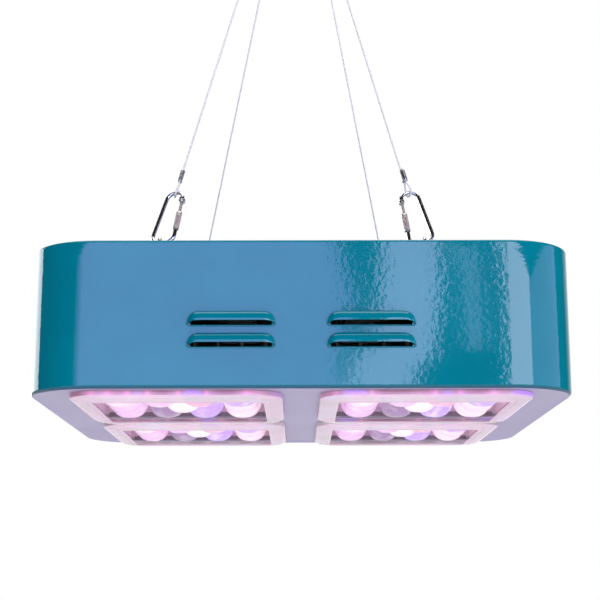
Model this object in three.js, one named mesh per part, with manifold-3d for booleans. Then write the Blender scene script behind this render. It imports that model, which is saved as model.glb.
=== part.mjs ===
// Hanging LED grow light: a painted sheet-steel housing with louvred sides, four lens modules in a
// white lamp plate, two top fans, and four wire ropes that meet in one hanging ring.
// Millimetres, +Z up. The origin is the point of the ring that rests on the ceiling hook.
import * as THREE from "three";
import { mergeVertices } from "three/addons/utils/BufferGeometryUtils.js";
import Module from "manifold-3d";

const wasm = await Module();
wasm.setup();

// ---------- driving dimensions ----------
const gap = 0.3; // room between pieces that touch on the real object
const housing = { width: 320, depth: 300, height: 86, corner: 41, sheet: 1.2, flange: 8, skirt: 0.8 };
const plate = { thickness: 1.5 };
const module = { x: 74.5, y: 73 }; // how far a lens module's middle is from the lamp's
const cover = {
  width: 124.4, depth: 136, corner: 20,
  shift: 1.3, // towards the lamp's middle
  drop: 4.2, wall: 1.5, step: 3, inset: 3,
};
const tray = { width: 116, depth: 124, wall: 4, bottom: 1.8, base: 7.5, top: 9 };
const lens = { radius: 12, pitchX: 24.5, pitchY: 27, shiftY: 4, tip: -2.4 };
const board = { bottom: tray.top + gap, thickness: 1.6 };
const sink = { width: 290, depth: 124, base: 4, top: 31, fins: 22, fin: 1.6 };
const driver = { width: 190, depth: 38, height: 28, y: 79 };
const louver = { length: 51, height: 8.3, lip: 2.4, out: 5, sheet: 1, x: 40, z: [23, 35.6] };
const fan = { size: 92, height: 25, x: 75, bore: 43, hub: 19, blades: 7 };
const guard = { wire: 1.6, rings: [15, 29, 43], reach: 52 };
const inlet = { x: 95, z: 43, width: 48, height: 28, flange: 2.4, bodyWidth: 28, bodyHeight: 21, depth: 22 };
const rocker = { x: -95, z: 43, width: 30, height: 22, flange: 2, depth: 18, tilt: 9 };
const eye = {
  x: 78.6, shift: -5.2, y: 126, top: 7.8, half: 3.4,
  wire: 1.1, tail: 9, nut: 2.8, nutHeight: 2.4,
};
const hook = {
  wire: 1.15, top: 37.6, topArc: 5.4, gateEnd: 8.8, noseTop: 8.5,
  cornerArc: 4.6, wideArc: 5.8, seat: -3.1,
};
const hookSpine = -8.9; // how far the spine's bend reaches from the middle of the narrow end
const hinge = {
  v: 30.4, cheek: 1.5, cheekHalf: 1.7, tongue: 1.1, tongueHalf: 0.5,
  slot: 0.8, rivet: 0.45, head: 0.9,
};
const gateRod = 1;
const nut = { from: 9, length: 12.8, bore: 1.3, radius: 1.8 };
const rope = {
  radius: 0.6, loop: 2.5, twist: Math.PI / 6,
  ferruleFrom: 8.5, ferruleLength: 8.5, ferruleWall: 0.75,
};
const ropeGap = 0.2; // room between a rope and its ferrule
const ring = { x: -3.2, radius: 12, wire: 1.5, bottom: 428, spacing: 2.2 };
// From the lamp plate's lower face to the ceiling hook's contact.
const hangHeight = ring.bottom + 2 * ring.radius - ring.wire;

const inner = housing.height - housing.sheet; // underside of the housing's top

// ---------- materials ----------
const finish = (color, roughness, metalness, more = {}) =>
  new THREE.MeshStandardMaterial({ color, roughness, metalness, ...more });
const tealPaint = finish(0x0f7d94, 0.25, 0.1);
const whitePaint = finish(0xc9c2da, 0.5, 0.0);
const clearPlastic = finish(0xf3e6f3, 0.1, 0.0, { transparent: true, opacity: 0.4 });
const steel = finish(0xb8b8ba, 0.25, 0.9);
const wireSteel = finish(0xa9abad, 0.4, 0.8);
const aluminium = finish(0xb9bcc0, 0.45, 0.85);
const boardWhite = finish(0xe9e9e6, 0.5, 0.0);
const blackPlastic = finish(0x18191b, 0.5, 0.0);

// ---------- helpers ----------

// A three.js geometry as a manifold-3d solid, with its faces turned outwards.
function solid(geometry) {
  const plain = new THREE.BufferGeometry().setAttribute("position", geometry.getAttribute("position"));
  plain.setIndex(geometry.index);
  const merged = mergeVertices(plain, 1e-4);
  const triVerts = new Uint32Array(merged.index.array);
  const make = () =>
    new wasm.Manifold(new wasm.Mesh({
      numProp: 3,
      vertProperties: merged.attributes.position.array,
      triVerts,
    }));
  const made = make();
  if (made.volume() > 0) return made;
  for (let i = 0; i < triVerts.length; i += 3) {
    [triVerts[i + 1], triVerts[i + 2]] = [triVerts[i + 2], triVerts[i + 1]];
  }
  return make();
}

const unite = (solids) => solids.reduce((a, b) => a.add(b));

const lamp = new THREE.Group();
lamp.position.set(-ring.x, 0, -hangHeight);

// Adds a solid to the lamp as a named mesh.
function addPiece(name, made, material) {
  const mesh = made.getMesh();
  const geometry = new THREE.BufferGeometry();
  geometry.setAttribute("position", new THREE.BufferAttribute(new Float32Array(mesh.vertProperties), 3));
  geometry.setIndex(new THREE.BufferAttribute(new Uint32Array(mesh.triVerts), 1));
  geometry.computeVertexNormals();
  const piece = new THREE.Mesh(geometry, material);
  piece.name = name;
  lamp.add(piece);
}

function roundedShape(width, depth, radius) {
  const [x, y, r] = [width / 2, depth / 2, radius];
  const shape = new THREE.Shape();
  shape.moveTo(-x + r, -y);
  shape.lineTo(x - r, -y);
  shape.absarc(x - r, -y + r, r, -Math.PI / 2, 0);
  shape.lineTo(x, y - r);
  shape.absarc(x - r, y - r, r, 0, Math.PI / 2);
  shape.lineTo(-x + r, y);
  shape.absarc(-x + r, y - r, r, Math.PI / 2, Math.PI);
  shape.lineTo(-x, -y + r);
  shape.absarc(-x + r, -y + r, r, Math.PI, 1.5 * Math.PI);
  return shape;
}

// An upright prism of a shape, from z0 to z1.
function prism(shape, z0, z1, curveSegments = 6) {
  const geometry = new THREE.ExtrudeGeometry(shape, { depth: z1 - z0, bevelEnabled: false, curveSegments });
  return solid(geometry.translate(0, 0, z0));
}

function box(x0, x1, y0, y1, z0, z1) {
  const geometry = new THREE.BoxGeometry(x1 - x0, y1 - y0, z1 - z0);
  return solid(geometry.translate((x0 + x1) / 2, (y0 + y1) / 2, (z0 + z1) / 2));
}

// A cylinder along Z, centred on (x, y).
function cylinder(x, y, radius, z0, z1, sides = 16) {
  const geometry = new THREE.CylinderGeometry(radius, radius, z1 - z0, sides).rotateX(Math.PI / 2);
  return solid(geometry.translate(x, y, (z0 + z1) / 2));
}

// A profile of [radius, z] points revolved about Z.
function revolved(profile, segments) {
  const points = profile.map(([r, z]) => new THREE.Vector2(r, z));
  return solid(new THREE.LatheGeometry(points, segments).rotateX(Math.PI / 2));
}

// A curve whose steps follow its own points, so that tight bends get as many as long straights.
class Route extends THREE.CatmullRomCurve3 {
  getPointAt(u, target) {
    return this.getPoint(u, target);
  }
  getTangentAt(u, target) {
    return this.getTangent(u, target);
  }
}

function tube(points, radius, sides, steps) {
  const section = new THREE.Shape();
  for (let i = 0; i < sides; i += 1) {
    const angle = (2 * Math.PI * i) / sides;
    const [x, y] = [radius * Math.cos(angle), radius * Math.sin(angle)];
    if (i) section.lineTo(x, y);
    else section.moveTo(x, y);
  }
  section.closePath();
  const extrudePath = new Route(points, false, "centripetal");
  return solid(new THREE.ExtrudeGeometry(section, { steps, bevelEnabled: false, extrudePath }));
}

// ---------- housing ----------

// One louvre at the origin of a wall whose outer face is y = 0 and whose outside is -Y.
function louverShapes() {
  const { length, height, lip, out, sheet } = louver;
  const bulge = (radius, low, top) => [
    [0, low],
    [radius, low],
    [radius, lip],
    [0.8 * radius, lip + 0.65 * (top - lip)],
    [0, top],
  ];
  const hood = (profile) => {
    const straight = length / 2 - out;
    const shape = new THREE.Shape(profile.map(([r, z]) => new THREE.Vector2(r, z)));
    const bar = solid(
      new THREE.ExtrudeGeometry(shape, { depth: 2 * straight, bevelEnabled: false })
        .rotateX(Math.PI / 2)
        .rotateZ(-Math.PI / 2)
        .translate(straight, 0, 0),
    );
    const end = revolved(profile, 10);
    return unite([bar, end.translate([-straight, 0, 0]), end.translate([straight, 0, 0])]);
  };
  const outside = box(-length, length, -2 * out, housing.sheet / 2, -1, 2 * height);
  const added = hood(bulge(out, lip, height)).intersect(outside);
  const hollow = hood(bulge(out - sheet, lip - 1, height - sheet)).intersect(outside);
  const slot = box(-length / 2 + 1.5, length / 2 - 1.5, -0.2, 2 * housing.sheet, 0, height - 2 * sheet);
  return { added, removed: hollow.add(slot) };
}

// Where louvres stand: the wall's turn about Z, its distance out, and the places along it.
const louverWalls = [
  { turn: 0, out: housing.depth / 2, along: [-louver.x, louver.x] },
  { turn: 180, out: housing.depth / 2, along: [-louver.x, louver.x] },
  { turn: 90, out: housing.width / 2, along: [-louver.x, louver.x] },
  { turn: 270, out: housing.width / 2, along: [-louver.x, louver.x] },
];

function housingShell() {
  const { width, depth, height, corner, sheet, flange, skirt } = housing;
  const skin = prism(roundedShape(width, depth, corner), -skirt, height);
  const room = prism(roundedShape(width - 2 * sheet, depth - 2 * sheet, corner - sheet), -1, inner);
  const lowFlange = plate.thickness + gap;
  const inset = sheet + flange;
  const ledgeShape = roundedShape(width - sheet, depth - sheet, corner - sheet / 2);
  const ledge = prism(ledgeShape, lowFlange, lowFlange + sheet);
  const holeShape = roundedShape(width - 2 * inset, depth - 2 * inset, corner - inset);
  const ledgeHole = prism(holeShape, 0, 2 * lowFlange);
  let shell = skin.subtract(room).add(ledge.subtract(ledgeHole));
  const { added, removed } = louverShapes();
  for (const { turn, out, along } of louverWalls) {
    for (const x of along) {
      for (const z of louver.z) {
        const place = (tool) => tool.translate([x, -out, z]).rotate([0, 0, turn]);
        shell = shell.add(place(added)).subtract(place(removed));
      }
    }
  }
  const cuts = [
    box(-inlet.x - inlet.bodyWidth / 2 - gap, -inlet.x + inlet.bodyWidth / 2 + gap,
      depth / 2 - 5, depth / 2 + 5,
      inlet.z - inlet.bodyHeight / 2 - gap, inlet.z + inlet.bodyHeight / 2 + gap),
    box(-rocker.x - rocker.width / 2 + 2, -rocker.x + rocker.width / 2 - 2, depth / 2 - 5, depth / 2 + 5,
      rocker.z - rocker.height / 2 + 2, rocker.z + rocker.height / 2 - 2),
  ];
  for (const side of [-1, 1]) {
    cuts.push(cylinder(side * fan.x, 0, fan.bore, inner - 5, height + 5, 24));
    for (const back of [-1, 1]) {
      for (const leg of [-eye.half, eye.half]) {
        const [x, y] = [eye.shift + side * eye.x, back * eye.y + leg];
        cuts.push(cylinder(x, y, eye.wire + gap, inner - 5, height + 5, 8));
      }
    }
  }
  return shell.subtract(unite(cuts));
}

const modules = [
  { name: "front_left", x: -1, y: -1 },
  { name: "front_right", x: 1, y: -1 },
  { name: "rear_left", x: -1, y: 1 },
  { name: "rear_right", x: 1, y: 1 },
];

function lampPlate() {
  const edge = 2 * (housing.sheet + gap);
  const radius = housing.corner - edge / 2;
  let made = prism(roundedShape(housing.width - edge, housing.depth - edge, radius), 0, plate.thickness);
  const window = prism(roundedShape(tray.width - 6, tray.depth - 6, 4), -1, 2 * plate.thickness, 3);
  for (const { x, y } of modules) made = made.subtract(window.translate([x * module.x, y * module.y, 0]));
  return made;
}

function lensCover() {
  const { width, depth, corner, drop, wall, step, inset } = cover;
  const rim = prism(roundedShape(width, depth, corner), -step, -gap, 5);
  const faceShape = roundedShape(width - 2 * inset, depth - 2 * inset, corner - inset);
  const face = prism(faceShape, -drop, -step + 0.5, 5);
  const thick = inset + wall;
  const room = prism(roundedShape(width - 2 * thick, depth - 2 * thick, corner - thick), wall - drop, 0, 5);
  return rim.add(face).subtract(room);
}

// The lens centres of one module: rows of four, with three in the third row from the front.
function lensPlaces() {
  const four = [-1.5, -0.5, 0.5, 1.5];
  const rows = [[-1.5, four], [-0.5, four], [0.5, [-1.5, 0, 1.5]], [1.5, four]];
  return rows.flatMap(([row, columns]) => (
    columns.map((column) => [column * lens.pitchX, row * lens.pitchY + lens.shiftY])
  ));
}

function lensTray() {
  const { width, depth, wall, bottom, base, top } = tray;
  const outer = box(-width / 2, width / 2, -depth / 2, depth / 2, bottom, top);
  const room = box(-width / 2 + wall, width / 2 - wall, -depth / 2 + wall, depth / 2 - wall, 0, base);
  const fall = base - lens.tip;
  const profile = [
    [0, base + 1],
    [lens.radius, base + 1],
    [lens.radius, base],
    [0.85 * lens.radius, base - 0.55 * fall],
    [0.5 * lens.radius, base - 0.88 * fall],
    [0, lens.tip],
  ];
  const dome = revolved(profile, 8);
  return unite([outer.subtract(room), ...lensPlaces().map(([x, y]) => dome.translate([x, y, 0]))]);
}

function ledBoard() {
  const made = box(-tray.width / 2, tray.width / 2, -tray.depth / 2, tray.depth / 2,
    board.bottom, board.bottom + board.thickness);
  const notch = cylinder(0, -tray.depth / 2, 4, board.bottom - 1, board.bottom + 5, 12);
  return made.subtract(notch);
}

function heatSink() {
  const bottom = board.bottom + board.thickness + gap;
  const { width, depth, base, top, fins, fin } = sink;
  const pitch = (width - fin) / (fins - 1);
  const comb = new THREE.Shape();
  comb.moveTo(-width / 2, bottom);
  comb.lineTo(width / 2, bottom);
  for (let i = fins - 1; i >= 0; i -= 1) {
    const left = -width / 2 + i * pitch;
    if (i < fins - 1) comb.lineTo(left + fin, bottom + base);
    comb.lineTo(left + fin, top);
    comb.lineTo(left, top);
    if (i > 0) comb.lineTo(left, bottom + base);
  }
  const geometry = new THREE.ExtrudeGeometry(comb, { depth, bevelEnabled: false });
  return solid(geometry.rotateX(Math.PI / 2).translate(0, depth / 2, 0));
}

function ledDriver() {
  const top = inner - gap;
  const [halfX, halfY] = [driver.width / 2, driver.depth / 2];
  const body = box(-halfX, halfX, -halfY, halfY, top - driver.height, top);
  const ear = box(-driver.width / 2 - 9, driver.width / 2 + 9, -11, 11, top - 2, top);
  return body.add(ear);
}

// ---------- fans ----------
const fanTop = inner - gap;
const fanBottom = fanTop - fan.height;

function fanFrame() {
  const half = fan.size / 2;
  const body = prism(roundedShape(fan.size, fan.size, 5), fanBottom, fanTop, 3);
  const bore = cylinder(0, 0, fan.bore, fanBottom - 1, fanTop + 1, 24);
  const waist = box(-half - 1, half + 1, -half - 1, half + 1, fanBottom + 4, fanTop - 4);
  const barrel = cylinder(0, 0, fan.bore + 2, fanBottom, fanTop, 24);
  const ends = body.subtract(waist);
  const hub = cylinder(0, 0, fan.hub, fanBottom, fanBottom + 3);
  const strut = box(-half, half, -2, 2, fanBottom, fanBottom + 3);
  const tie = unite([hub, strut.rotate([0, 0, 45]), strut.rotate([0, 0, -45])]);
  const tieLimit = cylinder(0, 0, fan.bore + 1, fanBottom, fanTop);
  return unite([ends, barrel]).subtract(bore).add(tie.intersect(tieLimit));
}

function fanRotor() {
  const hub = cylinder(0, 0, fan.hub, fanBottom + 3 + 2 * gap, fanTop - 1, 20);
  const reach = fan.bore - 1.5;
  const pieces = [hub];
  for (let i = 0; i < fan.blades; i += 1) {
    const blade = box(fan.hub - 3, reach, -0.9, 0.9, -10.5, 10.5);
    const pitched = blade.rotate([48, 0, 0]).translate([0, 0, (fanBottom + fanTop) / 2 + 1]);
    pieces.push(pitched.rotate([0, 0, (360 * i) / fan.blades]));
  }
  return unite(pieces);
}

// A finger guard of round rings on crossed arms, standing on the housing's top.
function fanGuard() {
  const low = housing.height + gap;
  const high = low + guard.wire;
  const square = (radius) => [
    [radius - guard.wire / 2, high - 0.2],
    [radius + guard.wire / 2, high - 0.2],
    [radius + guard.wire / 2, high + guard.wire - 0.2],
    [radius - guard.wire / 2, high + guard.wire - 0.2],
    [radius - guard.wire / 2, high - 0.2],
  ];
  const arm = box(-guard.reach, guard.reach, -guard.wire / 2, guard.wire / 2, low, high);
  const arms = [arm.rotate([0, 0, 45]), arm.rotate([0, 0, -45])];
  return unite([...guard.rings.map((radius) => revolved(square(radius), 18)), ...arms]);
}

// ---------- electrical fittings on the rear wall ----------
const rear = housing.depth / 2;

function powerInlet() {
  const { width, height, flange, bodyWidth, bodyHeight, depth } = inlet;
  const face = box(-width / 2, width / 2, rear + gap, rear + gap + flange, -height / 2, height / 2);
  const body = box(-bodyWidth / 2, bodyWidth / 2, rear - depth, rear + 1, -bodyHeight / 2, bodyHeight / 2);
  const socket = box(-12, 12, rear - depth + 3, rear + 10, -8.5, 8.5);
  const pins = [-7, 0, 7].map((x, i) =>
    box(x - 1, x + 1, rear - depth + 2, rear - 1, i === 1 ? 0 : -4, i === 1 ? 5 : 1),
  );
  return unite([face.add(body).subtract(socket), ...pins]).translate([-inlet.x, 0, inlet.z]);
}

function switchFrame() {
  const { width, height, flange, depth } = rocker;
  const face = box(-width / 2, width / 2, rear + gap, rear + gap + flange, -height / 2, height / 2);
  const [bodyX, bodyZ] = [width / 2 - 2.3, height / 2 - 2.3];
  const body = box(-bodyX, bodyX, rear - depth, rear + 1, -bodyZ, bodyZ);
  const [wellX, wellZ] = [width / 2 - 4, height / 2 - 4];
  const well = box(-wellX, wellX, rear - depth + 4, rear + 10, -wellZ, wellZ);
  return face.add(body).subtract(well).translate([-rocker.x, 0, rocker.z]);
}

// The rocker's outline is two flats in a shallow V, drawn tilted to the pressed side.
function switchRocker() {
  const long = rocker.width / 2 - 4.8;
  const tall = rocker.height / 2 - 4.4;
  const outline = new THREE.Shape();
  outline.moveTo(-long, 0);
  outline.lineTo(-long, 5.4);
  outline.lineTo(0, 3.6);
  outline.lineTo(long, 5.4);
  outline.lineTo(long, 0);
  outline.lineTo(0, -5);
  const geometry = new THREE.ExtrudeGeometry(outline, { depth: 2 * tall, bevelEnabled: false });
  const upright = solid(geometry.translate(0, 0, -tall));
  return upright.rotate([0, 0, rocker.tilt]).translate([-rocker.x, rear, rocker.z]);
}

// ---------- suspension ----------

// The four corners, with each rope's place along the hanging ring and each carabiner's turn in its eye.
const corners = [
  { name: "front_left", x: -1, y: -1, slot: -1.5, turn: Math.PI / 8 },
  { name: "front_right", x: 1, y: -1, slot: 0.5, turn: 0 },
  { name: "rear_left", x: -1, y: 1, slot: -0.5, turn: 0 },
  { name: "rear_right", x: 1, y: 1, slot: 1.5, turn: 0 },
];

const at = (origin, ...steps) => {
  const point = origin.clone();
  for (const [direction, length] of steps) point.addScaledVector(direction, length);
  return point;
};

// The frame of one corner. The carabiner lies in the plane of U, from its spine to its gate, and V, along
// its gate, and N is their normal. The rope pulls from the seat, where the eye bears, along R, with P
// across it in that plane.
function cornerFrame({ x, y, slot, turn }) {
  const seatHeight = housing.height + eye.top - 2 * eye.wire - gap - hook.wire;
  const seat = new THREE.Vector3(eye.shift + x * eye.x, y * eye.y, seatHeight);
  const along = slot * ring.spacing;
  const rise = ring.radius - Math.sqrt(ring.radius ** 2 - along ** 2);
  const top = new THREE.Vector3(ring.x + along, 0, ring.bottom + rise);
  const inward = new THREE.Vector3(-x * Math.cos(turn), y * Math.sin(turn), 0);
  const across = new THREE.Vector3(-x, 0, 0);
  const R = top.clone().sub(seat).normalize();
  const P = inward.addScaledVector(R, -inward.dot(R)).normalize();
  const N = new THREE.Vector3().crossVectors(P, R);
  const ringSide = new THREE.Vector3().crossVectors(across, R).normalize(); // across the ring's wire
  const lean = Math.atan2(-hook.seat, hook.top);
  const V = at(new THREE.Vector3(), [R, Math.cos(lean)], [P, -Math.sin(lean)]);
  const U = at(new THREE.Vector3(), [P, Math.cos(lean)], [R, Math.sin(lean)]);
  const base = at(seat, [U, -hook.seat]); // local (0, 0), below the middle of the narrow end
  const grip = at(base, [V, hook.top]); // where the rope's loop bears
  return { base, U, V, N, R, P, top, grip, ringSide };
}

const toFrame = ({ base, U, V, N }) => new THREE.Matrix4().makeBasis(U, V, N).setPosition(base);

// Moves a geometry drawn with x = U, y = V, z = N into a corner's frame.
const placed = (geometry, frame) => solid(geometry.clone().applyMatrix4(toFrame(frame)));

// The carabiner's centreline, from its nose round the wide end and the spine to its hinge.
function hookLine() {
  const { top, topArc, cornerArc, wideArc } = hook;
  const wideX = hookSpine + wideArc;
  const [dx, dy] = [-wideX, top - topArc - wideArc];
  const spread = Math.acos((wideArc - topArc) / Math.hypot(dx, dy));
  const lean = Math.atan2(dy, dx) + spread; // of the spine's normal
  const line = new THREE.Path();
  line.moveTo(topArc, cornerArc);
  line.absarc(topArc - cornerArc, cornerArc, cornerArc, 0, -Math.PI / 2, true);
  line.lineTo(wideX, 0);
  line.absarc(wideX, wideArc, wideArc, -Math.PI / 2, lean - 2 * Math.PI, true);
  line.lineTo(topArc * Math.cos(lean), top - topArc + topArc * Math.sin(lean));
  line.absarc(0, top - topArc, topArc, lean, 0, true);
  return line.getSpacedPoints(26);
}

// A pin across the carabiner, at its hinge.
function hingePin(radius, length, sides) {
  const geometry = new THREE.CylinderGeometry(radius, radius, length, sides).rotateX(Math.PI / 2);
  return geometry.translate(hook.topArc, hinge.v, 0);
}

// A rod on the gate's line, from one height to another.
function gateLineRod(radius, from, to, sides) {
  const geometry = new THREE.CylinderGeometry(radius, radius, to - from, sides);
  return geometry.translate(hook.topArc, (from + to) / 2, 0);
}

function carabinerHook(frame) {
  const points = hookLine().map(({ x, y }) => at(frame.base, [frame.U, x], [frame.V, y]));
  const rod = tube(points, hook.wire, 8, 27);
  const rootHeight = hook.top - hook.topArc - hinge.v;
  const root = new THREE.BoxGeometry(2 * hinge.cheek, rootHeight, 2 * hinge.cheekHalf);
  root.translate(hook.topArc, hinge.v + rootHeight / 2, 0);
  const slot = new THREE.BoxGeometry(6, 6, 2 * hinge.slot);
  slot.translate(hook.topArc, hinge.v + hinge.tongue + gap - 3, 0);
  const solids = [
    gateLineRod(gateRod, hook.cornerArc - 0.5, hook.noseTop, 8),
    hingePin(hinge.cheek, 2 * hinge.cheekHalf, 10),
    root,
  ];
  return unite([rod, ...solids.map((geometry) => placed(geometry, frame))])
    .subtract(placed(slot, frame))
    .subtract(placed(hingePin(hinge.rivet + gap, 10, 8), frame));
}

function carabinerGate(frame) {
  const rodTop = hinge.v - hinge.cheek - 0.4;
  const tongueLow = rodTop - 1;
  const tongue = new THREE.BoxGeometry(2 * gateRod - 0.2, hinge.v - tongueLow, 2 * hinge.tongueHalf);
  tongue.translate(hook.topArc, (hinge.v + tongueLow) / 2, 0);
  const solids = [
    gateLineRod(gateRod, hook.gateEnd, rodTop, 8),
    tongue,
    hingePin(hinge.tongue, 2 * hinge.tongueHalf, 10),
  ];
  return unite(solids.map((geometry) => placed(geometry, frame)))
    .subtract(placed(hingePin(hinge.rivet + gap, 10, 8), frame));
}

function carabinerRivet(frame) {
  const reach = hinge.cheekHalf + gap;
  const heads = [-1, 1].map((side) => hingePin(hinge.head, 0.5, 8).translate(0, 0, side * (reach + 0.25)));
  const pin = hingePin(hinge.rivet, 2 * reach + 0.4, 8);
  return unite([pin, ...heads].map((geometry) => placed(geometry, frame)));
}

function lockNut(frame) {
  const sleeve = gateLineRod(nut.radius, nut.from, nut.from + nut.length, 12);
  const bore = gateLineRod(nut.bore, nut.from - 2, nut.from + nut.length + 2, 12);
  return placed(sleeve, frame).subtract(placed(bore, frame));
}

// A wire arch with its legs through the housing's top, and a nut on each leg below it.
function hangEye({ x, y }) {
  const [bottom, archHeight] = [inner - eye.tail, housing.height + eye.top - eye.wire - eye.half];
  const points = [[-eye.half, bottom], [-eye.half, (bottom + archHeight) / 2]];
  for (let i = 0; i <= 8; i += 1) {
    const angle = Math.PI * (1 - i / 8);
    points.push([eye.half * Math.cos(angle), archHeight + eye.half * Math.sin(angle)]);
  }
  points.push([eye.half, (bottom + archHeight) / 2], [eye.half, bottom]);
  const arch = tube(points.map(([q, z]) => new THREE.Vector3(0, q, z)), eye.wire, 8, 16);
  const nutTop = inner - gap;
  const nuts = [-eye.half, eye.half].map((q) => cylinder(0, q, eye.nut, nutTop - eye.nutHeight, nutTop, 6));
  return unite([arch, ...nuts]).translate([eye.shift + x * eye.x, y * eye.y, 0]);
}

// One end of a rope, from its cut tail through the ferrule and round the loop to the standing part.
// Q is the loop's sideways direction and V the way to the ferrule, both from the loop's middle.
function ropeEnd(middle, Q, V) {
  const side = rope.radius + ropeGap / 2;
  const r = rope.loop;
  const { ferruleFrom: from, ferruleLength: length } = rope;
  const flat = [
    [-side, from + length + 1.2], [-side, from + length / 2], [-side, from],
    [-0.55 * r, 0.68 * from], [-0.9 * r, 0.34 * from], [-r, 0],
    [-0.71 * r, -0.71 * r], [0, -r], [0.71 * r, -0.71 * r],
    [r, 0], [0.9 * r, 0.34 * from], [0.55 * r, 0.68 * from],
    [side, from], [side, from + length / 2], [side, from + length + 3],
  ];
  return flat.map(([q, v]) => at(middle, [Q, q], [V, v]));
}

function ropeFrames({ N, P, R, top, grip, ringSide }) {
  const Q = N.clone().multiplyScalar(Math.cos(rope.twist)).addScaledVector(P, Math.sin(rope.twist));
  return [
    { middle: grip, Q, V: R },
    { middle: top, Q: ringSide, V: R.clone().negate() },
  ];
}

function wireRope(frame) {
  const [low, high] = ropeFrames(frame).map(({ middle, Q, V }) => ropeEnd(middle, Q, V));
  return tube([...low, ...high.reverse()], rope.radius, 6, 54);
}

function ferrule({ middle, Q, V }) {
  const { ferruleFrom, ferruleLength } = rope;
  const side = rope.radius + ropeGap / 2;
  const oval = (grow) => {
    const shape = new THREE.Shape();
    const r = rope.radius + grow;
    shape.absarc(side, 0, r, -Math.PI / 2, Math.PI / 2);
    shape.absarc(-side, 0, r, Math.PI / 2, 1.5 * Math.PI);
    return shape;
  };
  const across = new THREE.Vector3().crossVectors(V, Q);
  const frame = new THREE.Matrix4().makeBasis(Q, across, V).setPosition(middle);
  const bar = (grow, low, high) => {
    const options = { depth: high - low, bevelEnabled: false, curveSegments: 4 };
    const geometry = new THREE.ExtrudeGeometry(oval(grow), options);
    return solid(geometry.translate(0, 0, low).applyMatrix4(frame));
  };
  const high = ferruleFrom + ferruleLength;
  return bar(rope.ferruleWall, ferruleFrom, high).subtract(bar(ropeGap, ferruleFrom - 2, high + 2));
}

// ---------- assembly ----------
addPiece("housing_shell", housingShell(), tealPaint);
addPiece("lamp_plate", lampPlate(), whitePaint);

const moduleParts = [
  ["lens_cover", lensCover(), clearPlastic, cover.shift],
  ["lens_array", lensTray(), clearPlastic, 0],
  ["led_board", ledBoard(), boardWhite, 0],
];
for (const { name, x, y } of modules) {
  for (const [part, made, material, shift] of moduleParts) {
    addPiece(`${part}_${name}`, made.translate([x * (module.x - shift), y * module.y, 0]), material);
  }
}

for (const [name, y] of [["front", -1], ["rear", 1]]) {
  addPiece(`heat_sink_${name}`, heatSink().translate([0, y * module.y, 0]), aluminium);
  addPiece(`led_driver_${name}`, ledDriver().translate([0, y * driver.y, 0]), aluminium);
}

for (const [name, x] of [["left", -fan.x], ["right", fan.x]]) {
  addPiece(`fan_frame_${name}`, fanFrame().translate([x, 0, 0]), blackPlastic);
  addPiece(`fan_rotor_${name}`, fanRotor().translate([x, 0, 0]), blackPlastic);
  addPiece(`fan_guard_${name}`, fanGuard().translate([x, 0, 0]), steel);
}

addPiece("power_inlet", powerInlet(), blackPlastic);
addPiece("switch_frame", switchFrame(), blackPlastic);
addPiece("switch_rocker", switchRocker(), blackPlastic);

addPiece(
  "hang_ring",
  solid(new THREE.TorusGeometry(ring.radius, ring.wire, 8, 24).rotateX(Math.PI / 2))
    .translate([ring.x, 0, ring.bottom + ring.radius]),
  steel,
);

for (const corner of corners) {
  const frame = cornerFrame(corner);
  const [low, high] = ropeFrames(frame);
  addPiece(`hang_eye_${corner.name}`, hangEye(corner), steel);
  addPiece(`carabiner_hook_${corner.name}`, carabinerHook(frame), steel);
  addPiece(`carabiner_gate_${corner.name}`, carabinerGate(frame), steel);
  addPiece(`carabiner_rivet_${corner.name}`, carabinerRivet(frame), steel);
  addPiece(`lock_nut_${corner.name}`, lockNut(frame), steel);
  addPiece(`wire_rope_${corner.name}`, wireRope(frame), wireSteel);
  addPiece(`ferrule_low_${corner.name}`, ferrule(low), aluminium);
  addPiece(`ferrule_high_${corner.name}`, ferrule(high), aluminium);
}

export default lamp;
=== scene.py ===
"""Looks of the hanging LED grow light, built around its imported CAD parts.

Lengths in this file are millimetres in the lamp's own frame: X right, Y away from the louvred front,
Z up from the lamp plate's lower face. place() turns them into metres in the row frame.
"""
import math

import bmesh
import bpy
from mathutils import Matrix, Vector


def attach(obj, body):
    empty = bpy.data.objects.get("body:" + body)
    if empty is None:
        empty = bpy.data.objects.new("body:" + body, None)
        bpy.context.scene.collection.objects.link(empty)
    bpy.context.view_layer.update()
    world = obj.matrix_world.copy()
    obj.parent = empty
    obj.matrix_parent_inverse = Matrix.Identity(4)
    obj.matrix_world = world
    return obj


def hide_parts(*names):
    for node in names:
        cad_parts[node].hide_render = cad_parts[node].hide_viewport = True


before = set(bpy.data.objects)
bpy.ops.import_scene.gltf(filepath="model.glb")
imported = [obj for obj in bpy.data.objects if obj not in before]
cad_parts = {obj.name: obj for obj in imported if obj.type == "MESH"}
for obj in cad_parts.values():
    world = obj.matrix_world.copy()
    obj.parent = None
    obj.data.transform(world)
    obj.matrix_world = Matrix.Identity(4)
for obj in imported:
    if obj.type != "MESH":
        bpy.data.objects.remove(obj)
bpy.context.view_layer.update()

# ---------- driving dimensions, as in the CAD ----------
SKIRT = 0.8  # how far the walls reach below the lamp plate
HANG = 450.5  # from the lamp plate's lower face up to the ceiling hook's contact
WIDTH, DEPTH, HEIGHT, CORNER, SHEET = 320.0, 300.0, 86.0, 41.0, 1.2
EDGE = 1.5  # radius of the housing's folded edges
PLATE = 1.5
COVER = {
    "width": 124.4, "depth": 136.0, "corner": 20.0, "shift": 1.3,
    "drop": 4.2, "step": 3.0, "inset": 3.0, "wall": 1.5,
}
MODULE_X, MODULE_Y = 74.5, 73.0
WINDOW = {"half": 51.0, "front": -41.0, "back": 58.5}
WINDOW_MIDDLE = (WINDOW["back"] + WINDOW["front"]) / 2
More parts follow.
